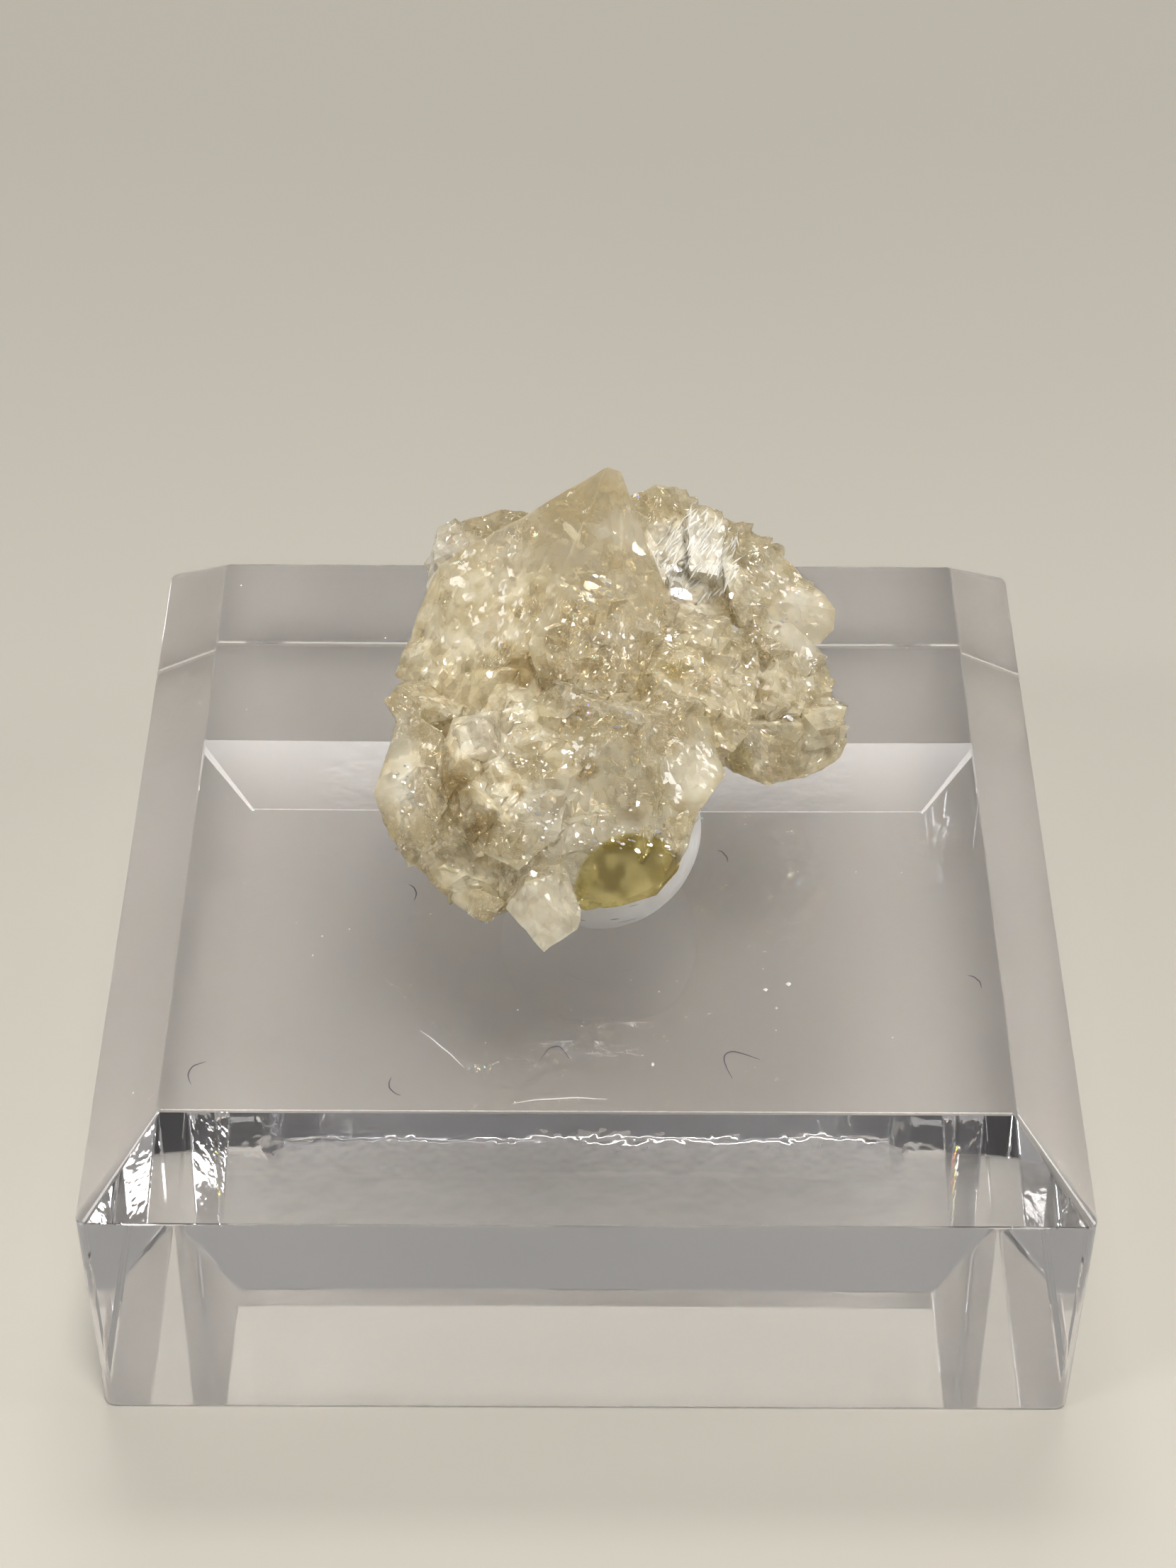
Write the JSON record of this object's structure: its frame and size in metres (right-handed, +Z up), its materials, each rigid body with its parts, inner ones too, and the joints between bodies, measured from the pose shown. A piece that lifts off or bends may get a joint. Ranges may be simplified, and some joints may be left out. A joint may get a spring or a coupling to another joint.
{
  "type": "crystal cluster on display block",
  "caption": "Cluster of pointed honey-coloured crystals, pressed into a ball of white putty on a clear square block with bevelled top edges.",
  "frame": {"origin": "middle of the display block's underside", "axes": "+Z up, +X to the right along the block's front edge as pictured, +Y away from the camera"},
  "size_m": [0.0508, 0.0508, 0.0395],
  "materials": {
    "clear_acrylic": "polished",
    "white_putty": "satin",
    "honey_crystal": "gloss"
  },
  "bodies": {
    "root": {"acrylic_block": "clear_acrylic", "mounting_putty": "white_putty", "crystal_cluster": "honey_crystal"}
  },
  "joints": []
}
